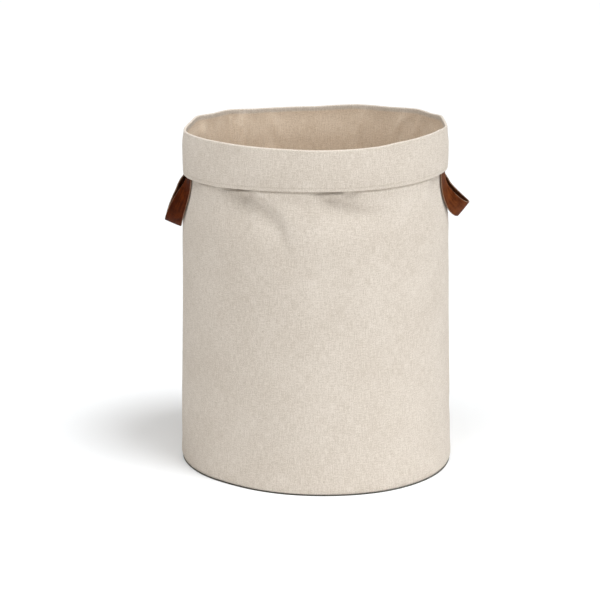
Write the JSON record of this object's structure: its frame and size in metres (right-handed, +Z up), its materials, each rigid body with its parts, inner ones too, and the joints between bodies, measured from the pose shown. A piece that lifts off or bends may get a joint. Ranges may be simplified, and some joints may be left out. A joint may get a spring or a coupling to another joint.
{
  "type": "fabric storage bin",
  "caption": "Tall round soft-sided storage bin in linen cloth with a turned-down cuff and leather strap handles at the sides.",
  "frame": {"origin": "centre of the underside of the base, on the surface the bin stands on", "axes": "+Z up the bin, -Y towards its front, the strap handles at -X and +X"},
  "size_m": [0.4256, 0.3796, 0.474],
  "materials": {
    "outer_cloth": "oatmeal linen canvas, plain weave with slubs, matt",
    "lining_cloth": "oatmeal linen cloth, plain weave, matt",
    "base_cloth": "dark taupe plain cloth, matt",
    "base_board": "pressed fibre board, matt",
    "strap_leather": "saddle brown strap leather, satin with burnished edges",
    "thread": "undyed sewing thread, matt"
  },
  "bodies": {
    "bin": {"base_cloth": "base_cloth", "base_board": "base_board", "base_lining": "lining_cloth", "base_stitching": "thread", "wall_canvas": "outer_cloth", "wall_lining": "lining_cloth", "wall_seam": "outer_cloth", "lining_seam": "lining_cloth", "left_front_handle_tab": "strap_leather", "left_rear_handle_tab": "strap_leather", "right_front_handle_tab": "strap_leather", "right_rear_handle_tab": "strap_leather", "left_front_tab_stitching": "thread", "left_rear_tab_stitching": "thread", "right_front_tab_stitching": "thread", "right_rear_tab_stitching": "thread"},
    "cuff": {"cuff_face": "outer_cloth", "cuff_backing": "lining_cloth", "cuff_hem": "outer_cloth", "hem_stitching": "thread"},
    "left_handle": {"left_handle_loop": "strap_leather"},
    "right_handle": {"right_handle_loop": "strap_leather"}
  },
  "joints": [
    {"name": "cuff_unfold", "type": "slide", "parent": "bin", "child": "cuff", "axis": [0, 0, 1], "range_m": [0, 0.055]},
    {"name": "left_handle_swing", "type": "hinge", "parent": "bin", "child": "left_handle", "pos_m": [-0.1732, 0, 0.402], "axis": [0, 1, 0], "range_deg": [0, 80]},
    {"name": "right_handle_swing", "type": "hinge", "parent": "bin", "child": "right_handle", "pos_m": [0.1732, 0, 0.402], "axis": [0, -1, 0], "range_deg": [0, 80]}
  ]
}
